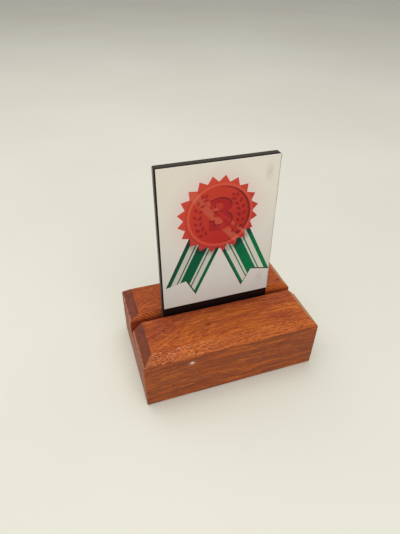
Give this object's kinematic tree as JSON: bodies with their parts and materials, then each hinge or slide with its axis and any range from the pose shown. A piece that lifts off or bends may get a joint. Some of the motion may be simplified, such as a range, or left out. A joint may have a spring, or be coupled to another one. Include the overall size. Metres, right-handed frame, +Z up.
{
  "type": "wooden plaque",
  "caption": "Desk award: a printed upright panel with a rosette, standing in the open slot of a chamfered hardwood block.",
  "frame": {"origin": "middle of the wooden block's underside, on the surface the award stands on", "axes": "+X along the block and across the panel, +Y from the printed face towards the back, +Z up"},
  "size_m": [0.1, 0.0626, 0.122],
  "materials": {
    "hardwood": "satin",
    "packing_card": "matte",
    "black_board": "gloss",
    "bonding_adhesive": "matte",
    "white_sheet": "satin",
    "red_print": "satin",
    "green_print": "satin",
    "ribbon_white_print": "satin"
  },
  "bodies": {
    "base": {"base_block": "hardwood", "packing_strip": "packing_card"},
    "panel": {"backing_board": "black_board", "bonding_film": "bonding_adhesive", "printed_sheet": "white_sheet"}
  },
  "joints": [
    {"name": "panel_lift", "type": "slide", "parent": "base", "child": "panel", "axis": [0, 0.0384, 0.9993], "range_m": [0, 0.02]}
  ]
}
